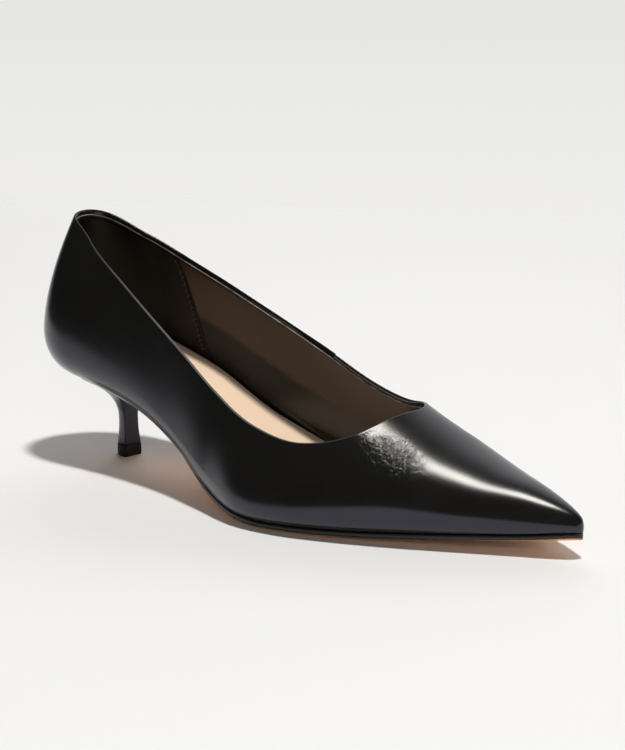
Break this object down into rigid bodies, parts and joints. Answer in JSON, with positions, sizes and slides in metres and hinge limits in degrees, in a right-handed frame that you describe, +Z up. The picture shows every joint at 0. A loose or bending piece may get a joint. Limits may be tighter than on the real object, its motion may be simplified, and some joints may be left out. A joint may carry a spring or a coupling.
{
  "type": "court shoe",
  "caption": "Pointed toe court shoe with a low slim heel, smooth black upper open at the collar, cushioned beige insole and a thin curved outsole.",
  "frame": {"origin": "middle of the shoe's outline in plan, on the floor it stands on", "axes": "+X from the heel to the toe, +Y to the inner side of the foot, +Z up"},
  "size_m": [0.267, 0.0836, 0.1022],
  "materials": {
    "upper_leather": "smooth black leather with a soft sheen",
    "insole_sock": "matt beige sock over a cushion",
    "outsole_sheet": "tan sheet with a black edge",
    "heel_cover": "black cover with a soft sheen",
    "tip_rubber": "matt black"
  },
  "bodies": {
    "root": {"upper": "upper_leather", "insole": "insole_sock", "outsole": "outsole_sheet", "heel": "heel_cover", "heel_tip": "tip_rubber"}
  },
  "joints": []
}
